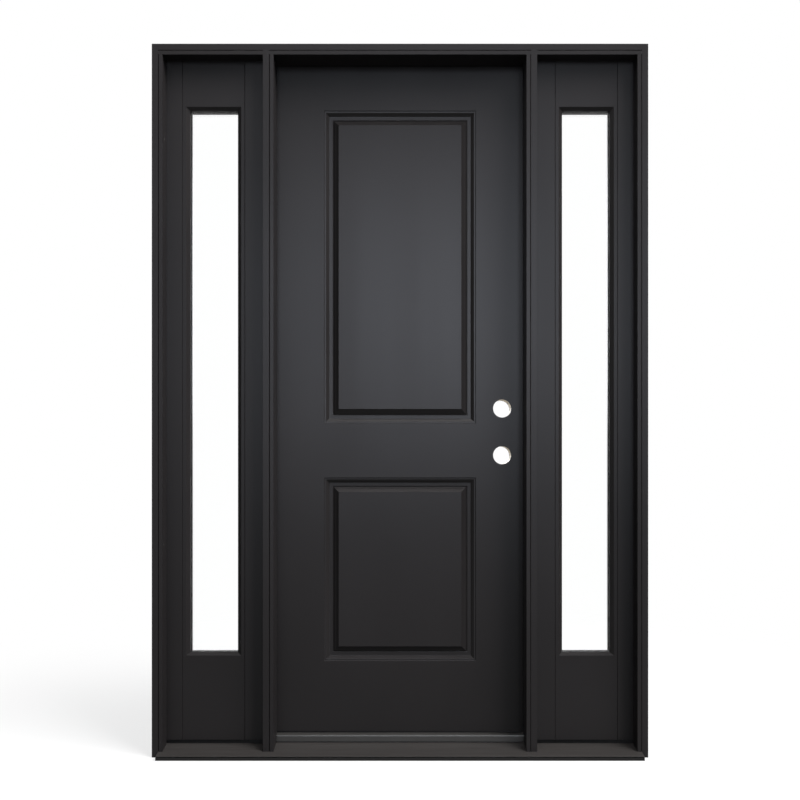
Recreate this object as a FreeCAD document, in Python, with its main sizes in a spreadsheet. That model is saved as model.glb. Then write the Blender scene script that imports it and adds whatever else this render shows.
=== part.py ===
"""Entry door with two fixed sidelights, in one frame with a sloped sill.

X runs to the right as seen from outdoors, Y runs indoors and Z runs up. The origin is the middle
of the sill's underside, in the plane of the frame's outdoor face. All sizes are in millimetres.
"""
import FreeCAD, Part
import os
from types import SimpleNamespace

import Sketcher

doc = FreeCAD.newDocument("DoorWithSidelights")
sheet = doc.addObject("Spreadsheet::Sheet", "Sizes")
exported = []


class Size:
    """A dimension: its number, and the formula that gives it from the sheet."""

    def __init__(self, value, formula):
        self.value = value
        self.formula = formula

    def __add__(self, other):
        other = as_size(other)
        return Size(self.value + other.value, f"({self.formula} + {other.formula})")

    def __sub__(self, other):
        other = as_size(other)
        return Size(self.value - other.value, f"({self.formula} - {other.formula})")

    def __mul__(self, other):
        other = as_size(other)
        return Size(self.value * other.value, f"({self.formula} * {other.formula})")

    def __truediv__(self, other):
        other = as_size(other)
        return Size(self.value / other.value, f"({self.formula} / {other.formula})")

    def __neg__(self):
        return Size(-self.value, f"(0 - {self.formula})")


def as_size(value):
    return value if isinstance(value, Size) else Size(float(value), repr(float(value)))


# Frame
door_opening = 762.0
sidelight_opening = 305.0
frame_height = 2076.0
frame_depth = 116.0
board = 18.0
stop_thickness = 13.0
stop_chamfer = 2.5
sidelight_setback = 41.0

# Sill and threshold
nose_reach = 27.0
nose_height = 11.5
sill_height = 26.5
slope_end = 50.0
deck_thickness = 2.0
base_front_height = 8.5
drip_groove_depth = 5.0
cap_rise = 22.5
cap_round = 4.0
cap_foot_height = 3.5
cap_foot_recess = 6.0
cap_side_gap = 0.5

# Door
door_thickness = 44.5
door_gap = 5.0
skin = 2.5
edge_stile = 32.0
top_rail = 40.0
bottom_rail = 60.0
face_stile = 148.5
face_top_rail = 140.0
face_lock_rail = 162.0
face_bottom_rail = 210.0
lower_panel_height = 549.5
lock_backset = 70.0
lock_rise = 826.5
lock_spacing = 140.0
lock_bore = 54.0
lock_block_width = 95.0
lock_block_margin = 75.0
sweep_gap = 1.0
sweep_setback = 1.5
sweep_plate = 1.5
sweep_fin = 2.5
sweep_end = 6.0
seal_width = 12.0
seal_gap = 1.0
seal_depth = 5.5
seal_lip = 1.5
seal_round = 14.0

# Moulding round the door's panels: widths in from its outer edge, and depths below the door's face
quirk_width = 3.0
quirk_depth = 1.5
brow_width = 4.0
round_width = 10.0
round_radius = 11.9
ledge_width = 9.0
ledge_depth = 7.0
crease_width = 2.0
crease_depth = 9.5
cove_width = 15.5
cove_radius = 18.5
cove_top_depth = 1.0

# Sidelights
sidelight_thickness = 44.5
sidelight_gap = 3.0
sidelight_stile = 58.0
stile_chamfer = 1.5
sidelight_rise = 11.5
base_strip_setback = 7.0
sidelight_bottom_rail = 249.0
sidelight_top_rail = 144.0
lite_flange = 10.0
lite_chamfer_side = 11.0
lite_chamfer_end = 9.0
lite_chamfer_depth = 8.0
glass_thickness = 18.0
glass_edge_gap = 3.0
indoor_sill_stop = 22.5

# Hinges
hinge_length = 102.0
leaf_thickness = 2.5
leaf_width = 32.0
leaf_edge = 1.0
barrel_radius = 6.0
knuckle_gap = 0.3
pin_radius = 4.0
pin_clearance = 0.05
pin_head_radius = 5.5
pin_head_height = 4.0
top_hinge_drop = 229.0
bottom_hinge_rise = 303.0

knuckles = 5
sweep_fins = 4

# Every plain number with a fraction above is a driving dimension, and gets a cell of its own name
driving = {name: value for name, value in dict(vars()).items() if isinstance(value, float)}
for row, (name, value) in enumerate(driving.items(), 1):
    sheet.set(f"A{row}", name)
    sheet.set(f"B{row}", str(value))
    sheet.setAlias(f"B{row}", name)
doc.recompute()
s = SimpleNamespace(**{name: Size(value, f"Sizes.{name}") for name, value in driving.items()})

# Places that several pieces share
zero = as_size(0)
half_door = s.door_opening / 2
mullion_out = half_door + s.board
half_sill = mullion_out + s.sidelight_opening
half_frame = half_sill + s.board
head_under = s.frame_height - s.board
stop_under = head_under - s.stop_thickness

door_front = s.frame_depth - s.door_thickness
door_stop_depth = door_front - s.seal_depth - s.seal_gap
door_half_width = half_door - s.door_gap
cap_height = s.sill_height + s.cap_rise
door_bottom = cap_height + s.door_gap
door_top = head_under - s.door_gap
core_half_width = door_half_width - s.edge_stile
core_front = door_front + s.skin
core_thickness = s.door_thickness - s.skin * 2
core_depth = (core_front, core_front + core_thickness)
cap_front_half = half_door - s.stop_thickness - s.cap_side_gap

bore_x = door_half_width - s.lock_backset
lock_height = door_bottom + s.lock_rise
bore_heights = (lock_height, lock_height + s.lock_spacing)
panel_half_width = door_half_width - s.face_stile
lower_panel_bottom = door_bottom + s.face_bottom_rail
lower_panel_top = lower_panel_bottom + s.lower_panel_height
upper_panel_bottom = lower_panel_top + s.face_lock_rail
upper_panel_top = door_top - s.face_top_rail
panels = ((lower_panel_bottom, lower_panel_top), (upper_panel_bottom, upper_panel_top))
round_end = s.quirk_width + s.brow_width + s.round_width
cove_start = round_end + s.ledge_width + s.crease_width
moulding_width = cove_start + s.cove_width
backing_depth = s.crease_depth + s.skin

axis_x = -half_door + s.door_gap / 2
axis_y = s.frame_depth + s.barrel_radius
top_hinge = door_top - s.top_hinge_drop
bottom_hinge = door_bottom + s.bottom_hinge_rise
hinge_heights = (bottom_hinge, (bottom_hinge + top_hinge) / 2, top_hinge)
knuckle_length = (s.hinge_length - s.knuckle_gap * (knuckles - 1)) / knuckles

sidelight_middle = mullion_out + s.sidelight_opening / 2
sidelight_half_width = s.sidelight_opening / 2 - s.sidelight_gap
sidelight_top = head_under - s.sidelight_gap
sidelight_bottom = s.sill_height + s.sidelight_rise
lite_top = sidelight_top - s.sidelight_top_rail
lite_bottom = sidelight_bottom + s.sidelight_bottom_rail
sidelight_back = s.sidelight_setback + s.sidelight_thickness
sidelight_depth = (s.sidelight_setback, sidelight_back)
lite_half_width = sidelight_half_width - s.sidelight_stile
lite_frame_depth = (s.sidelight_thickness - s.glass_thickness) / 2


def deck_height(y):
    """Height of the sill's sloped top at distance y from the frame's outdoor face."""
    return s.nose_height + (y + s.nose_reach) * (s.sill_height - s.nose_height) / (s.slope_end + s.nose_reach)


def bind(piece, **sizes):
    """Tie properties of a piece to the sheet. A double underscore stands for a dot."""
    for name, size in sizes.items():
        piece.setExpression(name.replace("__", "."), as_size(size).formula)
    return piece


def place(piece, x=0, y=0, z=0):
    return bind(piece, Placement__Base__x=x, Placement__Base__y=y, Placement__Base__z=z)


def keep(piece, label):
    """Mark a finished sub-part, which is written to a file of its label's name."""
    piece.Label = label
    exported.append(piece)


def box(name, x, y, z):
    """A straight piece that fills the spans x, y and z, each given as (low, high)."""
    piece = doc.addObject("Part::Box", name)
    (x_low, x_high), (y_low, y_high), (z_low, z_high) = x, y, z
    bind(piece, Length=as_size(x_high) - x_low, Width=as_size(y_high) - y_low, Height=as_size(z_high) - z_low)
    return place(piece, x_low, y_low, z_low)


def cylinder(name, radius, length, x, y, z, rotation=FreeCAD.Rotation()):
    piece = doc.addObject("Part::Cylinder", name)
    bind(piece, Radius=radius, Height=length)
    piece.Placement.Rotation = rotation
    return place(piece, x, y, z)


def cut(name, base, tools):
    """The base piece with each tool cut away in turn."""
    for number, tool in enumerate(tools):
        result = doc.addObject("Part::Cut", f"{name}_cut_{number}")
        result.Base = base
        result.Tool = tool
        base = result
    return base


def fuse(name, pieces):
    result = doc.addObject("Part::MultiFuse", name)
    result.Shapes = pieces
    return result


def group(name, pieces):
    """Like pieces that don't touch, kept together in one sub-part."""
    result = doc.addObject("Part::Compound", name)
    result.Links = pieces
    return result


def sketch_on(body, name, plane):
    """A sketch on one of the body's own origin planes."""
    sketch = body.newObject("Sketcher::SketchObject", name)
    support = next(item for item in body.Origin.OriginFeatures if item.Role == plane)
    sketch.AttachmentSupport = [(support, "")]
    sketch.MapMode = "FlatFace"
    return sketch


def fix_radius(sketch, name, geometry, radius):
    index = sketch.addConstraint(Sketcher.Constraint("Radius", geometry, radius.value))
    sketch.renameConstraint(index, f"{name}_radius")
    sketch.setExpression(f"Constraints.{name}_radius", radius.formula)


def fix_point(sketch, name, geometry, point, across, up):
    """Hold one point of a sketch at sizes from the sheet, measured from the sketch's origin."""
    for kind, letter, size in (("DistanceX", "x", across), ("DistanceY", "y", up)):
        size = as_size(size)
        index = sketch.addConstraint(Sketcher.Constraint(kind, -1, 1, geometry, point, size.value))
        sketch.renameConstraint(index, f"{name}_{letter}")
        sketch.setExpression(f"Constraints.{name}_{letter}", size.formula)


def arc_between(start, end, radius, side):
    """The short arc from start to end that bulges to the right of that way, or to the left with side -1."""
    half = (end - start) / 2
    rise = radius - (radius**2 - half.Length**2) ** 0.5
    right = FreeCAD.Vector(half.y, -half.x, 0).normalize()
    middle = start + half + right * rise * side
    return Part.Arc(start, middle, end) if side > 0 else Part.Arc(end, middle, start)


def outline(sketch, name, corners, arcs=None, left_arcs=None):
    """A closed outline through the corners.

    Arcs gives a radius for each run that bulges to the right of its way, left_arcs for each that bulges left.
    """
    arcs = arcs or {}
    left_arcs = left_arcs or {}
    points = [FreeCAD.Vector(as_size(across).value, as_size(up).value, 0) for across, up in corners]
    runs = []
    for number, (start, end) in enumerate(zip(points, points[1:] + points[:1])):
        if number in arcs:
            shape = arc_between(start, end, arcs[number].value, 1)
        elif number in left_arcs:
            shape = arc_between(start, end, left_arcs[number].value, -1)
        else:
            shape = Part.LineSegment(start, end)
        run = sketch.addGeometry(shape, False)
        drawn = sketch.Geometry[run]
        turned = (drawn.StartPoint - start).Length > (drawn.EndPoint - start).Length
        runs.append((run, 2, 1) if turned else (run, 1, 2))
    for (run, _, end), (following, start, _) in zip(runs, runs[1:] + runs[:1]):
        sketch.addConstraint(Sketcher.Constraint("Coincident", run, end, following, start))
    for number, ((run, start, _), (across, up)) in enumerate(zip(runs, corners)):
        fix_point(sketch, f"{name}_{number}", run, start, across, up)
    for number, radius in (arcs | left_arcs).items():
        fix_radius(sketch, f"{name}_{number}", runs[number][0], radius)


def rectangle(sketch, name, across, up):
    """A closed rectangle over the spans across and up, each given as (low, high)."""
    (left, right), (low, high) = across, up
    outline(sketch, name, [(left, low), (right, low), (right, high), (left, high)])


def circle(sketch, name, across, up, radius):
    centre = FreeCAD.Vector(across.value, up.value, 0)
    geometry = sketch.addGeometry(Part.Circle(centre, FreeCAD.Vector(0, 0, 1), radius.value), False)
    fix_point(sketch, name, geometry, 3, across, up)
    fix_radius(sketch, name, geometry, radius)


def pad(body, name, sketch, length, reverse=False):
    feature = body.newObject("PartDesign::Pad", name)
    feature.Profile = sketch
    feature.Reversed = reverse
    return bind(feature, Length=length)


def pocket(body, name, sketch, depth, reverse=False):
    feature = body.newObject("PartDesign::Pocket", name)
    feature.Profile = sketch
    feature.Reversed = reverse
    return bind(feature, Length=depth)


def run_along_x(name, corners, x_low, x_high, arcs=None):
    """A piece with one section, drawn over (y, z), that runs along X."""
    body = doc.addObject("PartDesign::Body", name)
    section = sketch_on(body, f"{name}_section", "YZ_Plane")
    outline(section, "corner", corners, arcs)
    pad(body, f"{name}_run", section, as_size(x_high) - x_low)
    return place(body, x=x_low)


def run_up(name, corners, z_low, z_high, arcs=None, left_arcs=None):
    """An upright with one section, drawn over (x, y)."""
    body = doc.addObject("PartDesign::Body", name)
    section = sketch_on(body, f"{name}_section", "XY_Plane")
    outline(section, "corner", corners, arcs, left_arcs)
    pad(body, f"{name}_run", section, as_size(z_high) - z_low)
    return place(body, z=z_low)


def sill_space():
    """All the room under the sill's top, which the feet of uprights are cut to fit."""
    corners = [
        (-s.nose_reach, -s.nose_height),
        (s.frame_depth + s.nose_reach, -s.nose_height),
        (s.frame_depth + s.nose_reach, s.sill_height),
        (s.slope_end, s.sill_height),
        (-s.nose_reach, s.nose_height),
    ]
    return run_along_x("sill_space", corners, -half_sill, half_sill)


def frame_boards(foot):
    for side, low, high in (("left", -half_frame, -half_sill), ("right", half_sill, half_frame)):
        keep(box(f"{side}_jamb", (low, high), (0, s.frame_depth), (0, s.frame_height)), f"{side}_jamb")
    head_height = (head_under, s.frame_height)
    keep(box("head_jamb", (-half_sill, half_sill), (0, s.frame_depth), head_height), "head_jamb")
    left = box("left_mullion_board", (-mullion_out, -half_door), (0, s.frame_depth), (0, head_under))
    seats = hinge_seats("left_mullion", (-half_door - s.leaf_thickness, -half_door))
    keep(cut("left_mullion", left, [foot] + seats), "left_mullion")
    right = box("right_mullion_board", (half_door, mullion_out), (0, s.frame_depth), (0, head_under))
    keep(cut("right_mullion", right, [foot]), "right_mullion")


def hinge_seats(name, span):
    """Shallow cuts for the hinge leaves, over the span in X and in from the frame's indoor face."""
    seats = []
    depth = (s.frame_depth - s.leaf_width, s.frame_depth)
    for number, height in enumerate(hinge_heights):
        upright = (height - s.hinge_length / 2, height + s.hinge_length / 2)
        seats.append(box(f"{name}_seat_{number}", span, depth, upright))
    return seats


def upright_stop(name, board_face, inwards, depth, foot):
    """A stop on an upright board's face, chamfered where its front meets the board."""
    free_face = board_face + s.stop_thickness * inwards
    corners = [
        (board_face, s.stop_chamfer),
        (board_face + s.stop_chamfer * inwards, zero),
        (free_face, zero),
        (free_face, depth),
        (board_face, depth),
    ]
    keep(cut(name, run_up(f"{name}_length", corners, zero, stop_under), [foot]), name)


def head_stop(name, span, depth):
    """A stop under the head, chamfered where its front meets the head."""
    corners = [
        (zero, stop_under),
        (depth, stop_under),
        (depth, head_under),
        (s.stop_chamfer, head_under),
        (zero, head_under - s.stop_chamfer),
    ]
    keep(run_along_x(name, corners, *span), name)


def stops(foot):
    upright_stop("left_jamb_stop", -half_sill, 1, s.sidelight_setback, foot)
    upright_stop("right_jamb_stop", half_sill, -1, s.sidelight_setback, foot)
    upright_stop("hinge_side_stop", -half_door, 1, door_stop_depth, foot)
    upright_stop("lock_side_stop", half_door, -1, door_stop_depth, foot)
    head_stop("left_sidelight_head_stop", (-half_sill, -mullion_out), s.sidelight_setback)
    head_stop("right_sidelight_head_stop", (mullion_out, half_sill), s.sidelight_setback)
    head_stop("door_head_stop", (-half_door, half_door), door_stop_depth)


def upright_seal(name, board_face, inwards):
    """A soft seal in the corner behind an upright stop, rounded towards the door."""
    free_edge = board_face + s.seal_width * inwards
    corners = [
        (board_face, door_stop_depth),
        (free_edge, door_stop_depth),
        (free_edge, door_stop_depth + s.seal_lip),
        (board_face, door_stop_depth + s.seal_depth),
    ]
    rounded = {2: s.seal_round}
    height = (door_bottom, head_under - s.seal_width)
    if inwards > 0:
        keep(run_up(name, corners, *height, arcs=rounded), name)
    else:
        keep(run_up(name, corners, *height, left_arcs=rounded), name)


def weatherstrips():
    """Soft seals between the backs of the door's stops and the face of the closed door."""
    upright_seal("hinge_side_weatherstrip", -half_door, 1)
    upright_seal("lock_side_weatherstrip", half_door, -1)
    free_edge = head_under - s.seal_width
    corners = [
        (door_stop_depth, head_under),
        (door_stop_depth, free_edge),
        (door_stop_depth + s.seal_lip, free_edge),
        (door_stop_depth + s.seal_depth, head_under),
    ]
    head = run_along_x("head_weatherstrip", corners, -half_door, half_door, {2: s.seal_round})
    keep(head, "head_weatherstrip")


def sill():
    """A base with a drip groove under its nose, a metal deck, and the cap that the door closes over."""
    groove_back = s.drip_groove_depth - s.nose_reach
    under_deck = s.sill_height - s.deck_thickness
    base = [
        (-s.nose_reach, zero),
        (s.frame_depth, zero),
        (s.frame_depth, under_deck),
        (s.slope_end, under_deck),
        (groove_back, deck_height(groove_back) - s.deck_thickness),
        (groove_back, s.base_front_height),
        (-s.nose_reach, s.base_front_height),
    ]
    keep(run_along_x("sill_base", base, -half_sill, half_sill), "sill_base")
    deck = [
        (-s.nose_reach, s.nose_height),
        (groove_back, deck_height(groove_back) - s.deck_thickness),
        (s.slope_end, under_deck),
        (s.frame_depth, under_deck),
        (s.frame_depth, s.sill_height),
        (s.slope_end, s.sill_height),
    ]
    keep(run_along_x("sill_deck", deck, -half_sill, half_sill), "sill_deck")
    cap = [
        (s.slope_end + s.cap_foot_recess, s.sill_height),
        (s.frame_depth, s.sill_height),
        (s.frame_depth, cap_height - s.cap_round),
        (s.frame_depth - s.cap_round, cap_height),
        (s.slope_end + s.cap_round, cap_height),
        (s.slope_end, cap_height - s.cap_round),
        (s.slope_end, s.sill_height + s.cap_foot_height),
        (s.slope_end + s.cap_foot_recess, s.sill_height + s.cap_foot_height),
    ]
    length = run_along_x("threshold_cap_length", cap, -half_door, half_door, {2: s.cap_round, 4: s.cap_round})
    notch_depth = (s.slope_end - s.cap_round, door_stop_depth + s.cap_side_gap)
    notch_height = (s.sill_height, cap_height)
    notches = [
        box("cap_notch_left", (-half_door, -cap_front_half), notch_depth, notch_height),
        box("cap_notch_right", (cap_front_half, half_door), notch_depth, notch_height),
    ]
    keep(cut("threshold_cap", length, notches), "threshold_cap")


def lite_frame(name, centre, face, turned):
    """One half of the frame that clamps a sidelight's glass, chamfered towards the glass."""
    body = doc.addObject("PartDesign::Body", name)
    chamfer_edge = lite_half_width - s.lite_flange
    daylight = chamfer_edge - s.lite_chamfer_side
    glass_span = (lite_bottom + s.lite_chamfer_end, lite_top - s.lite_chamfer_end)
    ring = sketch_on(body, f"{name}_ring_outline", "XZ_Plane")
    rectangle(ring, "outer", (-lite_half_width, lite_half_width), (lite_bottom, lite_top))
    rectangle(ring, "daylight", (-daylight, daylight), glass_span)
    pad(body, f"{name}_ring", ring, lite_frame_depth, reverse=True)
    mouth = sketch_on(body, f"{name}_mouth", "XZ_Plane")
    rectangle(mouth, "mouth", (-chamfer_edge, chamfer_edge), (lite_bottom, lite_top))
    throat = sketch_on(body, f"{name}_throat", "XZ_Plane")
    bind(throat, AttachmentOffset__Base__z=-s.lite_chamfer_depth)
    rectangle(throat, "throat", (-daylight, daylight), glass_span)
    chamfer = body.newObject("PartDesign::SubtractiveLoft", f"{name}_chamfer")
    chamfer.Profile = mouth
    chamfer.Sections = [throat]
    chamfer.Ruled = True
    if turned:
        body.Placement.Rotation = FreeCAD.Rotation(FreeCAD.Vector(0, 0, 1), 180)
    keep(place(body, x=centre, y=face), name)


def sidelight_stile_piece(name, outer_edge, inwards):
    """A full-height stile, with its front edge eased where it meets the rails and the lite frame."""
    inner_edge = outer_edge + s.sidelight_stile * inwards
    corners = [
        (outer_edge, s.sidelight_setback),
        (inner_edge - s.stile_chamfer * inwards, s.sidelight_setback),
        (inner_edge, s.sidelight_setback + s.stile_chamfer),
        (inner_edge, sidelight_back),
        (outer_edge, sidelight_back),
    ]
    keep(run_up(name, corners, sidelight_bottom, sidelight_top), name)


def sidelight(side, centre, low_role, high_role):
    """A fixed panel of stiles and rails round tall glass, held between stops."""
    panel = f"{side}_sidelight"
    sidelight_stile_piece(f"{panel}_{low_role}_stile", centre - sidelight_half_width, 1)
    sidelight_stile_piece(f"{panel}_{high_role}_stile", centre + sidelight_half_width, -1)
    rail_span = (centre - lite_half_width, centre + lite_half_width)
    for role, height in (("bottom", (sidelight_bottom, lite_bottom)), ("top", (lite_top, sidelight_top))):
        keep(box(f"{panel}_{role}_rail", rail_span, sidelight_depth, height), f"{panel}_{role}_rail")
    lite_frame(f"{panel}_outdoor_lite_frame", centre, s.sidelight_setback, False)
    lite_frame(f"{panel}_indoor_lite_frame", centre, sidelight_back, True)
    glass_half = lite_half_width - s.glass_edge_gap
    glass_front = s.sidelight_setback + lite_frame_depth
    glass_depth = (glass_front, glass_front + s.glass_thickness)
    glass_height = (lite_bottom + s.glass_edge_gap, lite_top - s.glass_edge_gap)
    glass = box(f"{panel}_glass", (centre - glass_half, centre + glass_half), glass_depth, glass_height)
    keep(glass, f"{panel}_glass")
    base_front = s.sidelight_setback + s.base_strip_setback
    strip = [
        (base_front, deck_height(base_front)),
        (s.slope_end, s.sill_height),
        (sidelight_back, s.sill_height),
        (sidelight_back, sidelight_bottom),
        (base_front, sidelight_bottom),
    ]
    base_span = (centre - sidelight_half_width, centre + sidelight_half_width)
    keep(run_along_x(f"{panel}_base_strip", strip, *base_span), f"{panel}_base_strip")
    indoor_stops(panel, centre)


def indoor_stops(panel, centre):
    """Strips that hold a sidelight from indoors: one on each upright, one under the head, one on the sill."""
    low = centre - s.sidelight_opening / 2
    high = centre + s.sidelight_opening / 2
    depth = (sidelight_back, s.frame_depth)
    upright = (s.sill_height, head_under)
    sides = [
        box(f"{panel}_low_side_stop", (low, low + s.stop_thickness), depth, upright),
        box(f"{panel}_high_side_stop", (high - s.stop_thickness, high), depth, upright),
    ]
    keep(group(f"{panel}_indoor_side_stops", sides), f"{panel}_indoor_side_stops")
    across = (low + s.stop_thickness, high - s.stop_thickness)
    ends = [
        box(f"{panel}_sill_stop", across, depth, (s.sill_height, s.sill_height + s.indoor_sill_stop)),
        box(f"{panel}_head_inner_stop", across, depth, (stop_under, head_under)),
    ]
    keep(group(f"{panel}_indoor_cross_stops", ends), f"{panel}_indoor_cross_stops")


def panel_rings(sketch):
    """Outlines of the backing behind both panels' mouldings."""
    inset = moulding_width + s.skin
    outer = panel_half_width + s.skin
    inner = panel_half_width - inset
    for number, (low, high) in enumerate(panels):
        rectangle(sketch, f"outer_{number}", (-outer, outer), (low - s.skin, high + s.skin))
        rectangle(sketch, f"inner_{number}", (-inner, inner), (low + inset, high - inset))


def press_moulding(body, name, low, high):
    """Cut the moulding's section round a panel, mitred at its corners."""
    half = panel_half_width
    path = sketch_on(body, f"{name}_path", "XZ_Plane")
    outline(path, "corner", [(zero, high), (half, high), (half, low), (-half, low), (-half, high)])
    clear = -s.quirk_depth
    corners = [
        (clear, high),
        (clear, high - moulding_width),
        (s.cove_top_depth, high - moulding_width),
        (s.crease_depth, high - cove_start),
        (s.ledge_depth, high - round_end - s.ledge_width),
        (s.ledge_depth, high - round_end),
        (s.quirk_depth, high - s.quirk_width - s.brow_width),
        (s.quirk_depth, high - s.quirk_width),
        (zero, high),
    ]
    section = sketch_on(body, f"{name}_section", "YZ_Plane")
    outline(section, "corner", corners, {2: s.cove_radius}, {5: s.round_radius})
    groove = body.newObject("PartDesign::SubtractivePipe", name)
    groove.Profile = section
    groove.Spine = path
    groove.Transition = "Right corner"


def door_skin(name, face, turned):
    """One face of the door: a sheet with two moulded panels pressed in, and the lock's bores."""
    body = doc.addObject("PartDesign::Body", f"{name}_sheet")
    flat = sketch_on(body, f"{name}_outline", "XZ_Plane")
    rectangle(flat, "edge", (-door_half_width, door_half_width), (door_bottom, door_top))
    pad(body, f"{name}_flat", flat, s.skin, reverse=True)
    rings = sketch_on(body, f"{name}_ring_outline", "XZ_Plane")
    panel_rings(rings)
    pad(body, f"{name}_rings", rings, backing_depth, reverse=True)
    for number, (low, high) in enumerate(panels):
        press_moulding(body, f"{name}_moulding_{number}", low, high)
    bores = sketch_on(body, f"{name}_bore_outline", "XZ_Plane")
    for number, height in enumerate(bore_heights):
        circle(bores, f"bore_{number}", -bore_x if turned else bore_x, height, s.lock_bore / 2)
    pocket(body, f"{name}_bores", bores, s.skin)
    if turned:
        body.Placement.Rotation = FreeCAD.Rotation(FreeCAD.Vector(0, 0, 1), 180)
    place(body, y=face)
    seats = hinge_seats(name, (-door_half_width, s.leaf_thickness - door_half_width)) if turned else []
    keep(cut(name, body, seats), name)


def door_edges():
    """The stiles and rails between the door's two skins."""
    height = (door_bottom, door_top)
    hinge_stile = box("hinge_stile_length", (-door_half_width, -core_half_width), core_depth, height)
    seats = hinge_seats("hinge_stile", (-door_half_width, s.leaf_thickness - door_half_width))
    keep(cut("door_hinge_stile", hinge_stile, seats), "door_hinge_stile")
    keep(box("door_lock_stile", (core_half_width, door_half_width), core_depth, height), "door_lock_stile")
    across = (-core_half_width, core_half_width)
    keep(box("door_top_rail", across, core_depth, (door_top - s.top_rail, door_top)), "door_top_rail")
    low_rail = (door_bottom, door_bottom + s.bottom_rail)
    keep(box("door_bottom_rail", across, core_depth, low_rail), "door_bottom_rail")


def door_inside():
    """The foam that fills the door, and in it the solid block that the lock's bores pass through."""
    body = doc.addObject("PartDesign::Body", "door_core_filling")
    height = (door_bottom + s.bottom_rail, door_top - s.top_rail)
    edge = sketch_on(body, "door_core_outline", "XZ_Plane")
    rectangle(edge, "edge", (-core_half_width, core_half_width), height)
    pad(body, "door_core_run", edge, core_thickness, reverse=True)
    for side, offset, reverse in (("front", zero, False), ("back", -core_thickness, True)):
        rings = sketch_on(body, f"door_core_{side}_rings", "XZ_Plane")
        bind(rings, AttachmentOffset__Base__z=offset)
        panel_rings(rings)
        pocket(body, f"door_core_{side}_grooves", rings, s.crease_depth, reverse)
    place(body, y=core_front)
    span = (core_half_width - s.lock_block_width, core_half_width)
    block_height = (bore_heights[0] - s.lock_block_margin, bore_heights[1] + s.lock_block_margin)
    keep(cut("door_core", body, [box("lock_block_space", span, core_depth, block_height)]), "door_core")
    blank = box("lock_block_blank", span, core_depth, block_height)
    along_y = FreeCAD.Rotation(FreeCAD.Vector(1, 0, 0), -90)
    bores = [
        cylinder(f"lock_bore_{number}", s.lock_bore / 2, core_thickness, bore_x, core_front, centre, along_y)
        for number, centre in enumerate(bore_heights)
    ]
    keep(cut("door_lock_block", blank, bores), "door_lock_block")


def door_sweep():
    """The flexible strip that closes the gap over the threshold: a plate under the door, with fins."""
    front = door_front + s.sweep_setback
    back = s.frame_depth - s.sweep_setback
    fin_step = (back - front - s.sweep_fin) / (sweep_fins - 1)
    plate_under = door_bottom - s.sweep_plate
    fin_foot = cap_height + s.sweep_gap
    corners = [(back, door_bottom), (front, door_bottom)]
    for number in range(sweep_fins):
        fin_front = front + fin_step * number
        fin_back = fin_front + s.sweep_fin
        if number > 0:
            corners.append((fin_front, plate_under))
        corners.append((fin_front, fin_foot))
        corners.append((fin_back, fin_foot))
        if number < sweep_fins - 1:
            corners.append((fin_back, plate_under))
    half = door_half_width - s.sweep_end
    keep(run_along_x("door_sweep", corners, -half, half), "door_sweep")


def hinge_leaf(name, height, plate_span, own_knuckles):
    """A mortised plate with its share of the barrel's knuckles, bored for the pin."""
    low = height - s.hinge_length / 2
    plate_depth = (s.frame_depth - s.leaf_width, s.frame_depth - s.leaf_edge)
    pieces = [box(f"{name}_plate", plate_span, plate_depth, (low, low + s.hinge_length))]
    for number in own_knuckles:
        start = low + (knuckle_length + s.knuckle_gap) * number
        neck_depth = (s.frame_depth - s.leaf_edge, axis_y)
        pieces.append(box(f"{name}_neck_{number}", plate_span, neck_depth, (start, start + knuckle_length)))
        knuckle = f"{name}_knuckle_{number}"
        pieces.append(cylinder(knuckle, s.barrel_radius, knuckle_length, axis_x, axis_y, start))
    bore = cylinder(f"{name}_bore", s.pin_radius + s.pin_clearance, s.hinge_length, axis_x, axis_y, low)
    return cut(name, fuse(f"{name}_blank", pieces), [bore])


def hinge_pin(name, height):
    """A pin as long as the barrel, with a round cap at each end."""
    low = height - s.hinge_length / 2
    shank = cylinder(f"{name}_shank", s.pin_radius, s.hinge_length, axis_x, axis_y, low)
    caps = [
        cylinder(f"{name}_{end}", s.pin_head_radius, s.pin_head_height, axis_x, axis_y, start)
        for end, start in (("foot", low - s.pin_head_height), ("head", low + s.hinge_length))
    ]
    return fuse(name, [shank, *caps])


def hinges():
    jamb_span = (-half_door - s.leaf_thickness, -half_door)
    door_span = (-door_half_width, s.leaf_thickness - door_half_width)
    frame_leaves = []
    door_leaves = []
    pins = []
    for number, height in enumerate(hinge_heights):
        frame_leaves.append(hinge_leaf(f"frame_leaf_{number}", height, jamb_span, range(0, knuckles, 2)))
        door_leaves.append(hinge_leaf(f"door_leaf_{number}", height, door_span, range(1, knuckles, 2)))
        pins.append(hinge_pin(f"hinge_pin_{number}", height))
    keep(group("hinge_frame_leaves", frame_leaves), "hinge_frame_leaves")
    keep(group("hinge_door_leaves", door_leaves), "hinge_door_leaves")
    keep(group("hinge_pins", pins), "hinge_pins")


def write_parts():
    """Check every object of the document, then write each sub-part to its own file."""
    doc.recompute()
    for item in doc.Objects:
        if {"Invalid", "Error"} & set(item.State):
            raise RuntimeError(f"{item.Name} failed: {item.State}")
    for piece in exported:
        if piece.Shape.isNull() or not piece.Shape.isValid():
            raise RuntimeError(f"{piece.Label} has no valid shape")
    os.makedirs("parts", exist_ok=True)
    for piece in exported:
        piece.Shape.exportStep(os.path.join("parts", f"{piece.Label}.step"))
        print(f"{piece.Label}: {len(piece.Shape.Solids)} solid(s), {piece.Shape.Volume / 1000:.1f} cm3")


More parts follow.
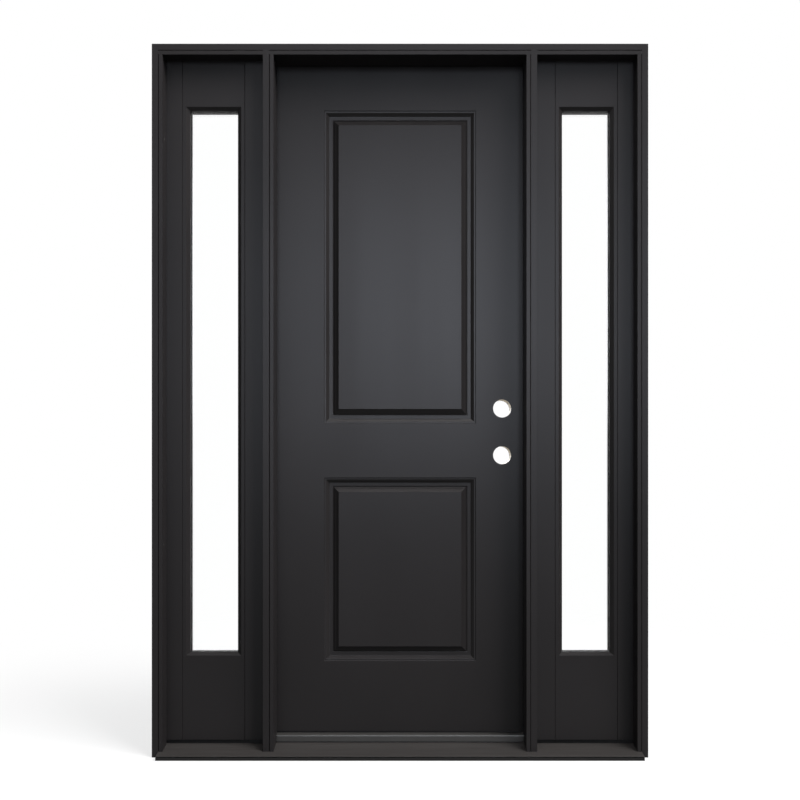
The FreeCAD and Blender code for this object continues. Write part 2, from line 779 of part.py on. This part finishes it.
under_uprights = sill_space()
frame_boards(under_uprights)
stops(under_uprights)
weatherstrips()
sill()
sidelight("left", -sidelight_middle, "outer", "inner")
sidelight("right", sidelight_middle, "inner", "outer")
door_skin("door_outdoor_skin", door_front, turned=False)
door_skin("door_indoor_skin", s.frame_depth, turned=True)
door_edges()
door_inside()
door_sweep()
hinges()
write_parts()
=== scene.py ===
"""Looks of an entry door with two sidelights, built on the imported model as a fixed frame."""
import math

import bmesh
import bpy
from mathutils import Matrix, Vector

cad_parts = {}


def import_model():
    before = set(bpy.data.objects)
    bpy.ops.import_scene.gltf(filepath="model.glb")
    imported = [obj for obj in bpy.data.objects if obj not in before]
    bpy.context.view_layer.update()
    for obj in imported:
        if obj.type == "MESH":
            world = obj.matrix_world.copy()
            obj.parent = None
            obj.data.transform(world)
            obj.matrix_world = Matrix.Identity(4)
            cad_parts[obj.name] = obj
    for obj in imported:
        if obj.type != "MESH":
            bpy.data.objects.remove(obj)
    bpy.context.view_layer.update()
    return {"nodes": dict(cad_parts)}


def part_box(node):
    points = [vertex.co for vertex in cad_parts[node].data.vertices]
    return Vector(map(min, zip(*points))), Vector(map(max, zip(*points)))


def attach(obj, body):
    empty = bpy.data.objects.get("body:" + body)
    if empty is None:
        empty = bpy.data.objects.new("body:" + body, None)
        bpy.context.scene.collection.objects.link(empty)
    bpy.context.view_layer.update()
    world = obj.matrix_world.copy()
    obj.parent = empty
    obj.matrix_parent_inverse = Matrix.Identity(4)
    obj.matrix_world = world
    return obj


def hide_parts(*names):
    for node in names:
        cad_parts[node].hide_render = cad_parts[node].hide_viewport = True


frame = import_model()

NODES = frame["nodes"]
SCENE = bpy.context.scene
SIDES = ("left", "right")

# Lengths are in metres, apart from the moulding's section

# Materials

EDGE_SAMPLES = 4
PAINT_EDGE = 0.0007
HARD_EDGE = 0.0006
PEEL_HEIGHT = 0.00002


class Shader:
    """A material with a principled shader, and short ways to add nodes to it."""

    def __init__(self, name):
        self.material = bpy.data.materials.new(name)
        self.material.use_nodes = True
        self.tree = self.material.node_tree
        self.bsdf = next(node for node in self.tree.nodes if node.type == "BSDF_PRINCIPLED")
        self.place = self.add("ShaderNodeTexCoord").outputs["Object"]

    def add(self, kind, **settings):
        node = self.tree.nodes.new(kind)
        for name, value in settings.items():
            setattr(node, name, value)
        return node

    def link(self, source, target):
        self.tree.links.new(source, target)

    def set(self, **values):
        """Constant values of the principled shader, named with _ for a space."""
        for name, value in values.items():
            self.bsdf.inputs[name.replace("_", " ")].default_value = value

    def noise(self, scale, detail=2.0, stretch=(1, 1, 1), rough=0.5):
        """Noise over the object's own metres, drawn out along the axes with a small stretch value."""
        mapping = self.add("ShaderNodeMapping")
        mapping.inputs["Scale"].default_value = stretch
        self.link(self.place, mapping.inputs["Vector"])
        node = self.add("ShaderNodeTexNoise")
        node.inputs["Scale"].default_value = scale
        node.inputs["Detail"].default_value = detail
        node.inputs["Roughness"].default_value = rough
        self.link(mapping.outputs["Vector"], node.inputs["Vector"])
        return node.outputs["Fac"]

    def spread(self, source, low=0, high=1, start=0.3, end=0.7):
        """The source's usual range, mapped to low and high."""
        node = self.add("ShaderNodeMapRange")
        for name, value in (("From Min", start), ("From Max", end), ("To Min", low), ("To Max", high)):
            node.inputs[name].default_value = value
        self.link(source, node.inputs["Value"])
        return node.outputs["Result"]

    def colour(self, source, dark, light):
        """Base colour between dark and light."""
        mix = self.add("ShaderNodeMix", data_type="RGBA")
        mix.inputs["A"].default_value = (*dark, 1)
        mix.inputs["B"].default_value = (*light, 1)
        self.link(source, mix.inputs["Factor"])
        self.link(mix.outputs["Result"], self.bsdf.inputs["Base Color"])

    def roughness(self, source, low, high):
        """Roughness from low to high over the source's usual range."""
        self.link(self.spread(source, low, high), self.bsdf.inputs["Roughness"])

    def relief(self, *layers, edge=0.0):
        """Bumps from (source, height), one over the other, on softly rounded edges."""
        normal = None
        if edge:
            bevel = self.add("ShaderNodeBevel", samples=EDGE_SAMPLES)
            bevel.inputs["Radius"].default_value = edge
            normal = bevel.outputs["Normal"]
        for source, height in layers:
            bump = self.add("ShaderNodeBump")
            bump.inputs["Distance"].default_value = height
            self.link(source, bump.inputs["Height"])
            if normal:
                self.link(normal, bump.inputs["Normal"])
            normal = bump.outputs["Normal"]
        self.link(normal, self.bsdf.inputs["Normal"])


def scaled(colour, factor):
    return tuple(channel * factor for channel in colour)


def paint(name, colour, rough, grain, grain_height):
    """Satin paint: faint grain or brush marks along one way, and a fine skin over it."""
    shader = Shader(name)
    cloud = shader.noise(scale=2.2, detail=3)
    brush = shader.noise(scale=90, detail=4, stretch=grain)
    peel = shader.noise(scale=420, detail=1)
    shader.colour(shader.spread(cloud), dark=scaled(colour, 0.9), light=scaled(colour, 1.1))
    shader.roughness(shader.noise(scale=5, detail=4, stretch=grain), low=rough - 0.04, high=rough + 0.04)
    shader.set(Specular_IOR_Level=0.09)
    shader.relief((brush, grain_height), (peel, PEEL_HEIGHT), edge=PAINT_EDGE)
    return shader.material


def brushed_metal(name, colour, rough, along):
    """Dark anodised metal with fine lines along its length."""
    shader = Shader(name)
    lines = shader.noise(scale=700, detail=3, stretch=along)
    line_height = 0.00003
    shader.set(Metallic=0.65)
    shader.colour(shader.spread(lines), dark=scaled(colour, 0.85), light=scaled(colour, 1.15))
    shader.roughness(shader.noise(scale=60, detail=3, stretch=along), low=rough - 0.05, high=rough + 0.06)
    shader.relief((lines, line_height), edge=HARD_EDGE)
    return shader.material


def moulded(name, colour, rough, shine):
    """Plain moulded composite with a fine grained skin."""
    shader = Shader(name)
    skin = shader.noise(scale=900, detail=2)
    skin_height = 0.00006
    shader.set(Specular_IOR_Level=shine)
    shader.colour(shader.noise(scale=14, detail=3), dark=scaled(colour, 0.85), light=scaled(colour, 1.15))
    shader.roughness(shader.noise(scale=30, detail=3), low=rough - 0.05, high=rough + 0.05)
    shader.relief((skin, skin_height), edge=HARD_EDGE)
    return shader.material


def rubber(name, colour):
    """Soft matt seal with a dusty, slightly uneven skin."""
    shader = Shader(name)
    dust = shader.noise(scale=40, detail=4)
    skin = shader.noise(scale=1500, detail=1)
    skin_height = 0.00008
    shader.set(Specular_IOR_Level=0.1)
    shader.colour(shader.spread(dust), dark=scaled(colour, 0.8), light=scaled(colour, 1.5))
    shader.roughness(dust, low=0.62, high=0.8)
    shader.relief((skin, skin_height))
    return shader.material


def clear_glass(name):
    """Clear float glass with a trace of green."""
    shader = Shader(name)
    shader.set(Transmission_Weight=1.0, IOR=1.45)
    shader.colour(shader.noise(scale=1.5), dark=(0.994, 0.999, 0.997), light=(1.0, 1.0, 1.0))
    shader.roughness(shader.noise(scale=3, detail=3), low=0.0, high=0.004)
    return shader.material


def bare_wood(name):
    """Pale softwood with grain along the door's height."""
    shader = Shader(name)
    rings = shader.noise(scale=55, detail=5, stretch=(1, 1, 0.05), rough=0.6)
    pores = shader.noise(scale=900, detail=2, stretch=(1, 1, 0.03))
    pore_depth = 0.0001
    shader.colour(shader.spread(rings), dark=(0.76, 0.67, 0.52), light=(0.88, 0.81, 0.68))
    shader.roughness(pores, low=0.55, high=0.75)
    shader.relief((pores, pore_depth))
    return shader.material


def foam(name):
    """Yellowish insulating foam with fine cells."""
    shader = Shader(name)
    cells = shader.noise(scale=700, detail=3)
    cell_depth = 0.0004
    shader.colour(cells, dark=(0.70, 0.62, 0.40), light=(0.86, 0.80, 0.62))
    shader.roughness(cells, low=0.8, high=0.95)
    shader.relief((cells, cell_depth))
    return shader.material


def coated_steel(name):
    """Black coated steel, a little polished where it rubs."""
    shader = Shader(name)
    rub = shader.noise(scale=60, detail=4)
    skin = shader.noise(scale=800, detail=2)
    skin_height = 0.00004
    shader.set(Metallic=0.4)
    shader.colour(shader.spread(rub), dark=(0.018, 0.018, 0.019), light=(0.034, 0.034, 0.035))
    shader.roughness(rub, low=0.3, high=0.44)
    shader.relief((skin, skin_height), edge=HARD_EDGE)
    return shader.material


BLACK = (0.0103, 0.0093, 0.0096)
UPRIGHT = (1, 1, 0.03)
LEVEL = (0.03, 1, 1)
SILL_LINES = (0.01, 1, 1)


def paint_pair(name, colour, rough, grain_height):
    """One paint with its grain upright, and with its grain level."""
    return (
        paint(f"{name}_upright", colour, rough, UPRIGHT, grain_height),
        paint(f"{name}_level", colour, rough, LEVEL, grain_height),
    )


# The frame's black is the sidelights' black lifted by 8%: a painted highlight on the frame's faces
frame_upright, frame_level = paint_pair("frame_paint", scaled(BLACK, 1.08), rough=0.385, grain_height=0.00005)
sidelight_upright, sidelight_level = paint_pair("sidelight_paint", BLACK, rough=0.4, grain_height=0.00003)
door_paint = paint("door_paint", scaled(BLACK, 1.05), rough=0.36, grain=UPRIGHT, grain_height=0.00002)
door_edge = paint("door_edge_paint", BLACK, rough=0.46, grain=UPRIGHT, grain_height=0.00006)
sill_metal = brushed_metal("sill_metal", (0.053, 0.0485, 0.0465), rough=0.42, along=SILL_LINES)
sill_base = moulded("sill_base_composite", (0.009, 0.0086, 0.0083), rough=0.6, shine=0.1)
cap_composite = moulded("threshold_cap_composite", (0.022, 0.021, 0.02), rough=0.38, shine=0.32)
sweep_vinyl = moulded("sweep_vinyl", scaled(BLACK, 0.9), rough=0.45, shine=0.11)
# Black seal rubber, darker than the paint: real black rubber, and painted shade for the gap under the
# sidelight panels where the base strips sit
seal_rubber_and_shade = rubber("seal_rubber_and_shade", (0.005, 0.005, 0.005))
spacer_black = moulded("glass_spacer", (0.008, 0.008, 0.008), rough=0.5, shine=0.2)
glass = clear_glass("sidelight_glass")
lock_wood = bare_wood("lock_block_wood")
core_foam = foam("core_foam")
hinge_steel = coated_steel("hinge_steel")

FINISH_BY_NODE = {
    "door_core": core_foam,
    "door_lock_block": lock_wood,
    "door_sweep": sweep_vinyl,
    "hinge_pins": hinge_steel,
    "sill_base": sill_base,
    "sill_deck": sill_metal,
    "threshold_cap": cap_composite,
}
FINISH_BY_ENDING = {
    "_glass": glass,
    "_leaves": hinge_steel,
    "_skin": door_paint,
    # The base strips under the sidelight panels: black seal whose darkness is partly painted shade of the gap
    "base_strip": seal_rubber_and_shade,
    "weatherstrip": seal_rubber_and_shade,
}


def finish_of(node):
    """The material of a CAD node, by what the node is."""
    if node in FINISH_BY_NODE:
        return FINISH_BY_NODE[node]
    for ending, finish in FINISH_BY_ENDING.items():
        if node.endswith(ending):
            return finish
    if node.startswith("door_") and node != "door_head_stop":
        return door_edge
    level = node.startswith("head_") or node.endswith(("_rail", "head_stop", "cross_stops"))
    if "_sidelight_" in node and "stop" not in node:
        return sidelight_level if level else sidelight_upright
    return frame_level if level else frame_upright


for name, node in NODES.items():
    node.data.materials.clear()
    node.data.materials.append(finish_of(name))


def piece(name, build, material, body):
    """A rigid piece that rides on a body of the frame; build adds its faces to an empty mesh."""
    mesh = bpy.data.meshes.new(name)
    shape = bmesh.new()
    build(shape)
    bmesh.ops.recalc_face_normals(shape, faces=shape.faces)
    shape.to_mesh(mesh)
    shape.free()
    mesh.materials.append(material)
    made = bpy.data.objects.new(name, mesh)
    SCENE.collection.objects.link(made)
    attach(made, body)
    return made


def directions(sides):
    """Cosine and sine at equal steps round a circle."""
    angles = [math.tau * side / sides for side in range(sides)]
    return [(math.cos(angle), math.sin(angle)) for angle in angles]


# Hinge screws

LEAF_HEIGHT = 0.102
# Each leaf's four screws: distance in from its outdoor edge, and height from its middle
SCREW_PLACES = ((0.006, -0.038), (0.021, -0.015), (0.021, 0.015), (0.006, 0.038))
SCREW_RADIUS = 0.0042
SCREW_HEIGHT = 0.0009
SCREW_RINGS = 7
SCREW_SIDES = 32
# The dome falls off with this power of the distance from the middle
DOME_POWER = 2.6
# The cross recess, as shares of the head's radius and of the dome's height
CROSS_HALF_WIDTH = 0.16
CROSS_REACH = 0.62
CROSS_FLOOR = 0.25


def screw_head(shape, centre, facing):
    """A domed screw head with a cross recess, standing on the point centre and looking along facing."""
    turn = Vector((0, 0, 1)).rotation_difference(facing).to_matrix().to_4x4()
    at = Matrix.Translation(centre) @ turn
    loops = []
    for ring_number in range(1, SCREW_RINGS + 1):
        share = ring_number / SCREW_RINGS
        dome = SCREW_HEIGHT * (1 - share**DOME_POWER)
        loop = []
        for cosine, sine in directions(SCREW_SIDES):
            x = cosine * SCREW_RADIUS * share
            y = sine * SCREW_RADIUS * share
            in_cross = share < CROSS_REACH and min(abs(x), abs(y)) < SCREW_RADIUS * CROSS_HALF_WIDTH
            z = dome * CROSS_FLOOR if in_cross else dome
            loop.append(shape.verts.new(at @ Vector((x, y, z))))
        loops.append(loop)
    middle = shape.verts.new(at @ Vector((0, 0, SCREW_HEIGHT * CROSS_FLOOR)))
    for side in range(SCREW_SIDES):
        after = (side + 1) % SCREW_SIDES
        shape.faces.new((middle, loops[0][side], loops[0][after]))
        for inner, outer in zip(loops, loops[1:]):
            shape.faces.new((inner[side], outer[side], outer[after], inner[after]))
    shape.faces.new(list(reversed(loops[-1])))


def hinge_screws(node, face_x, facing_x):
    """Screws of all three leaves of one kind, at face_x and looking along X with the sign facing_x."""
    low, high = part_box(node)
    leaf_middles = (low.z + LEAF_HEIGHT / 2, (low.z + high.z) / 2, high.z - LEAF_HEIGHT / 2)

    def build(shape):
        for middle in leaf_middles:
            for in_from_edge, rise in SCREW_PLACES:
                centre = Vector((face_x, low.y + in_from_edge, middle + rise))
                screw_head(shape, centre, Vector((facing_x, 0, 0)))

    return build


frame_leaf_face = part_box("left_mullion")[1].x
door_leaf_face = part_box("door_hinge_stile")[0].x
frame_screws = hinge_screws("hinge_frame_leaves", frame_leaf_face, 1)
door_screws = hinge_screws("hinge_door_leaves", door_leaf_face, -1)
piece("hinge_frame_screws", frame_screws, hinge_steel, "frame")
piece("hinge_door_screws", door_screws, hinge_steel, "door")


# Caps over the lite frames' screws

CAP_RADIUS = 0.0042
CAP_HEIGHT = 0.0006
CAP_SIDES = 28
# The cap's outline, from its foot to its eased rim: shares of its radius and of its height
CAP_OUTLINE = ((1.0, 0.0), (1.0, 0.55), (0.93, 1.0))
CAP_INSET = 0.006
CAP_SPACING = 0.2
CAP_END_ROOM = 0.12


def cap(shape, centre):
    """A thin round cap with an eased rim, looking indoors."""
    loops = []
    for share, rise in CAP_OUTLINE:
        loop = []
        for cosine, sine in directions(CAP_SIDES):
            offset = Vector((cosine * CAP_RADIUS * share, CAP_HEIGHT * rise, sine * CAP_RADIUS * share))
            loop.append(shape.verts.new(centre + offset))
        loops.append(loop)
    for side in range(CAP_SIDES):
        after = (side + 1) % CAP_SIDES
        for inner, outer in zip(loops, loops[1:]):
            shape.faces.new((inner[side], inner[after], outer[after], outer[side]))
    shape.faces.new(loops[0])
    shape.faces.new(list(reversed(loops[-1])))


def screw_caps(node):
    """Caps in a row along both sides of an indoor lite frame."""
    low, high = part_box(node)
    count = int((high.z - low.z - CAP_END_ROOM) // CAP_SPACING)
    start = (low.z + high.z) / 2 - CAP_SPACING * (count - 1) / 2

    def build(shape):
        for x in (low.x + CAP_INSET, high.x - CAP_INSET):
            for number in range(count):
                cap(shape, Vector((x, high.y, start + CAP_SPACING * number)))

    return build


for side in SIDES:
    caps = screw_caps(f"{side}_sidelight_indoor_lite_frame")
    piece(f"{side}_lite_screw_caps", caps, sidelight_upright, "frame")


# The door's two faces

PANEL_HALF_WIDTH = 0.2275
PANELS = ((0.264, 0.8135), (0.9755, 1.913))
BORE_X = 0.306
BORE_HEIGHTS = (0.8805, 1.0205)
BORE_RADIUS = 0.027
BORE_SIDES = 64
SHEET = 0.0025
# The moulding's section: distance in from the panel's edge and depth behind the face, in millimetres
MOULDING = (
    (0, 0), (1.1, 1.9), (5.5, 1.9), (15.0, 9.3), (25.3, 9.3),
    (26.7, 11.6), (31.9, 7.8), (34.1, 6.9), (42.6, 1.4), (43.5, 0),
)
MOULDING_EASE = 0.8
EASE_STEPS = 4
# The largest share of a straight stretch that the curve at one of its ends takes up
EASE_SHARE = 0.45
MILLIMETRES_PER_METRE = 1000
SHARP_ANGLE = math.radians(25)


def eased(corners):
    """A line through the corners in which each inner corner is a short curve."""
    points = [Vector(corner) for corner in corners]
    line = [points[0]]
    for before, at, after in zip(points, points[1:], points[2:]):
        ends = []
        for other in (before, after):
            way = other - at
            ends.append(at + way.normalized() * min(MOULDING_EASE, way.length * EASE_SHARE))
        for step in range(EASE_STEPS + 1):
            share = step / EASE_STEPS
            line.append(ends[0] * (1 - share) ** 2 + at * (2 * share * (1 - share)) + ends[1] * share**2)
    line.append(points[-1])
    return line


def ring(shape, points):
    """New vertices at the points, and the edges that join them in a closed loop."""
    verts = [shape.verts.new(point) for point in points]
    edges = [shape.edges.new(pair) for pair in zip(verts, verts[1:] + verts[:1])]
    return verts, edges


def rectangle(half_width, bottom, top, y):
    """The corners of an upright rectangle, anticlockwise as seen from outdoors."""
    corners = ((-half_width, bottom), (half_width, bottom), (half_width, top), (-half_width, top))
    return [(x, y, z) for x, z in corners]


def door_face(node, outward):
    """A pressed sheet with two moulded panels and the lock's bores, looking along Y with the sign outward."""
    low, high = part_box(node)
    face = low.y if outward < 0 else high.y
    section = [point / MILLIMETRES_PER_METRE for point in eased(MOULDING)]
    into_door = Vector((0, -outward * SHEET, 0))

    def build(shape):
        rim, flat = ring(shape, rectangle(high.x, low.z, high.z, face))
        openings = [rim]
        for height in BORE_HEIGHTS:
            circle = []
            for cosine, sine in directions(BORE_SIDES):
                circle.append((BORE_X + BORE_RADIUS * cosine, face, height + BORE_RADIUS * sine))
            verts, edges = ring(shape, circle)
            openings.append(verts)
            flat += edges
        for bottom, top in PANELS:
            loops = []
            for inset, depth in section:
                level = face - outward * depth
                points = rectangle(PANEL_HALF_WIDTH - inset, bottom + inset, top - inset, level)
                verts, edges = ring(shape, points)
                if not loops:
                    flat += edges
                loops.append(verts)
            for outer, inner in zip(loops, loops[1:]):
                for here in range(4):
                    there = (here + 1) % 4
                    shape.faces.new((outer[here], outer[there], inner[there], inner[here]))
            shape.faces.new(loops[-1])
        bmesh.ops.triangle_fill(shape, use_beauty=True, edges=flat, normal=(0, outward, 0))
        front = list(shape.faces)
        back = {vert: shape.verts.new(vert.co + into_door) for vert in list(shape.verts)}
        for patch in front:
            shape.faces.new([back[vert] for vert in reversed(patch.verts)])
        for loop in openings:
            for here, there in zip(loop, loop[1:] + loop[:1]):
                shape.faces.new((here, there, back[there], back[here]))

    made = piece(node.replace("skin", "face"), build, door_paint, "door")
    made.data.shade_smooth()
    made.data.set_sharp_from_angle(angle=SHARP_ANGLE)
    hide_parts(node)


door_face("door_outdoor_skin", -1)
door_face("door_indoor_skin", 1)


# Panes and spacers of the sidelights' glazing units

PANE = 0.003
PANE_EASE = 0.0005
SPACER_INSET = 0.001
SPACER_HEIGHT = 0.005
SPACER_GROOVE = SPACER_HEIGHT - 0.0006
# The spacer's section: height from its foot, and place across the gap between the panes from -1 to 1
SPACER = (
    (0, 1), (SPACER_HEIGHT, 1), (SPACER_HEIGHT, 0.55), (SPACER_GROOVE, 0.4),
    (SPACER_GROOVE, -0.4), (SPACER_HEIGHT, -0.55), (SPACER_HEIGHT, -1), (0, -1),
)


def slab(shape, low, high):
    """A closed box between two corners, with its edges eased."""
    made = bmesh.ops.create_cube(shape, size=1)["verts"]
    for vertex in made:
        share = vertex.co + Vector((0.5, 0.5, 0.5))
        vertex.co = low + Vector(part * span for part, span in zip(share, high - low))
    edges = dict.fromkeys(edge for vertex in made for edge in vertex.link_edges)
    bmesh.ops.bevel(shape, geom=list(edges), offset=PANE_EASE, segments=2, affect="EDGES", profile=0.5)


def panes(low, high):
    """The two glass panes of an insulated unit that fills the box."""

    def build(shape):
        slab(shape, low, Vector((high.x, low.y + PANE, high.z)))
        slab(shape, Vector((low.x, high.y - PANE, low.z)), high)

    return build


def spacer(low, high):
    """The bar that runs round between the panes, with two ribs along its inner face."""
    middle = (low.y + high.y) / 2
    half_gap = (high.y - low.y) / 2 - PANE

    def build(shape):
        loops = []
        for x_sign, z_sign in ((-1, -1), (1, -1), (1, 1), (-1, 1)):
            loop = []
            for rise, share in SPACER:
                x = (low.x if x_sign < 0 else high.x) - x_sign * (SPACER_INSET + rise)
                z = (low.z if z_sign < 0 else high.z) - z_sign * (SPACER_INSET + rise)
                loop.append(shape.verts.new((x, middle + half_gap * share, z)))
            loops.append(loop)
        for here, there in zip(loops, loops[1:] + loops[:1]):
            for number in range(len(SPACER)):
                after = (number + 1) % len(SPACER)
                shape.faces.new((here[number], here[after], there[after], there[number]))

    return build


glazing_units = []
for side in SIDES:
    node = f"{side}_sidelight_glass"
    low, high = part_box(node)
    glazing = piece(f"{side}_glass_panes", panes(low, high), glass, "frame")
    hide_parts(node)
    glazing_units.append(glazing)
    piece(f"{side}_glass_spacer", spacer(low, high), spacer_black, "frame")


# Camera, background and light

CAMERA_DISTANCE = 2.352
CAMERA_HEIGHT = 0.8362
FLOOR_HALF_WIDTH = 12
FLOOR_DROP = 0.0005
# The floor turns white between these distances from the origin
FADE_START = 0.7
FADE_END = 2.4


def camera():
    """The photograph's view: level, straight at the door, with the picture shifted up."""
    data = bpy.data.cameras.new("camera")
    data.sensor_width = 36
    data.lens = 36.39
    data.shift_y = 0.0875
    data.clip_start = 0.05
    data.clip_end = 100
    made = bpy.data.objects.new("camera", data)
    made.location = (0, -CAMERA_DISTANCE, CAMERA_HEIGHT)
    made.rotation_euler = (math.radians(90), 0, 0)
    SCENE.collection.objects.link(made)
    SCENE.camera = made


def joined(tree, kind, *sources, **settings):
    """A new node with these settings, whose first inputs come from the sources."""
    node = tree.nodes.new(kind)
    for name, value in settings.items():
        setattr(node, name, value)
    for number, source in enumerate(sources):
        tree.links.new(source, node.inputs[number])
    return node


def seen_white(tree):
    """1 for the kinds of ray that should see the white background, and 0 for the others."""
    path = tree.nodes.new("ShaderNodeLightPath")
    total = path.outputs["Is Camera Ray"]
    for ray in ("Is Glossy Ray", "Is Transmission Ray"):
        total = joined(tree, "ShaderNodeMath", total, path.outputs[ray], operation="MAXIMUM").outputs[0]
    return total


def world(fill):
    """White where it is seen, and a soft even fill where it lights."""
    made = bpy.data.worlds.new("studio")
    made.use_nodes = True
    SCENE.world = made
    tree = made.node_tree
    tree.nodes.clear()
    backgrounds = []
    for strength in (fill, 1):
        background = tree.nodes.new("ShaderNodeBackground")
        background.inputs["Color"].default_value = (1, 1, 1, 1)
        background.inputs["Strength"].default_value = strength
        backgrounds.append(background.outputs[0])
    mix = joined(tree, "ShaderNodeMixShader", seen_white(tree), *backgrounds)
    joined(tree, "ShaderNodeOutputWorld", mix.outputs[0])


def floor(glow, grey):
    """A plain pale floor that keeps the shadow near the object, and further off is as white as the world."""
    material = bpy.data.materials.new("floor_white")
    material.use_nodes = True
    tree = material.node_tree
    tree.nodes.clear()
    seen = seen_white(tree)
    diffuse = tree.nodes.new("ShaderNodeBsdfDiffuse")
    diffuse.inputs["Color"].default_value = (grey, grey, grey, 1)
    part_white = tree.nodes.new("ShaderNodeEmission")
    share = joined(tree, "ShaderNodeMath", seen, operation="MULTIPLY")
    share.inputs[1].default_value = glow
    tree.links.new(share.outputs[0], part_white.inputs["Strength"])
    near = joined(tree, "ShaderNodeAddShader", diffuse.outputs[0], part_white.outputs[0])
    place = tree.nodes.new("ShaderNodeTexCoord")
    away = joined(tree, "ShaderNodeVectorMath", place.outputs["Object"], operation="LENGTH")
    fade = joined(tree, "ShaderNodeMapRange", away.outputs["Value"], interpolation_type="SMOOTHSTEP")
    fade.inputs["From Min"].default_value = FADE_START
    fade.inputs["From Max"].default_value = FADE_END
    whiten = joined(tree, "ShaderNodeMath", seen, fade.outputs["Result"], operation="MULTIPLY")
    white = tree.nodes.new("ShaderNodeEmission")
    mix = joined(tree, "ShaderNodeMixShader", whiten.outputs[0], near.outputs[0], white.outputs[0])
    joined(tree, "ShaderNodeOutputMaterial", mix.outputs[0])

    mesh = bpy.data.meshes.new("floor")
    half = FLOOR_HALF_WIDTH
    corners = [(-half, -half, 0), (half, -half, 0), (half, half, 0), (-half, half, 0)]
    mesh.from_pydata(corners, [], [(0, 1, 2, 3)])
    mesh.materials.append(material)
    made = bpy.data.objects.new("floor", mesh)
    made.location.z = -FLOOR_DROP
    SCENE.collection.objects.link(made)


def area_light(name, place, target, size, power, colour=(1, 1, 1)):
    """A rectangular lamp that looks from its place at the target."""
    data = bpy.data.lights.new(name, "AREA")
    data.shape = "RECTANGLE"
    data.size, data.size_y = size
    data.energy = power
    data.color = colour
    made = bpy.data.objects.new(name, data)
    made.location = place
    made.rotation_euler = (Vector(target) - Vector(place)).to_track_quat("-Z", "Y").to_euler()
    SCENE.collection.objects.link(made)
    return made


def keep_off(lamp, pieces):
    """Leave these pieces out of a lamp's light, so that its mirror image doesn't show in them."""
    left_out = bpy.data.collections.new(f"{lamp.name}_leaves_out")
    for made in pieces:
        left_out.objects.link(made)
    for entry in left_out.collection_objects:
        entry.light_linking.link_state = "EXCLUDE"
    lamp.light_linking.receiver_collection = left_out


camera()
world(fill=0.05)
floor(glow=0.74, grey=0.14)

# In front: it makes the soft highlight on the paint, and no diffuse light
key = area_light(
    "key",
    place=(0.42, -6.0, 2.5),
    target=(0, 0, 1.2),
    size=(3.4, 2.3),
    power=412,
    colour=(0.82, 0.885, 1.0),
)
key.visible_diffuse = False
key.visible_transmission = False
keep_off(key, glazing_units)

# Above the frame's outdoor face
area_light("top", place=(0.1, -0.9, 4.4), target=(0, 0, 1.0), size=(2.6, 0.7), power=75)

# Indoors, for the views from behind
indoor_key = area_light(
    "indoor",
    place=(-0.5, 5.6, 2.5),
    target=(0, 0.1, 1.1),
    size=(3.4, 2.3),
    power=340,
    colour=(0.95, 0.97, 1.0),
)
indoor_key.visible_transmission = False
keep_off(indoor_key, glazing_units)

# High on the right: the diffuse light that shades the recesses from that side, with no gloss
side_fill = area_light("right", place=(7.2, -5.0, 10.0), target=(0, 0, 1.0), size=(6.5, 6.5), power=4500)
side_fill.visible_glossy = False

SCENE.view_settings.view_transform = "Standard"
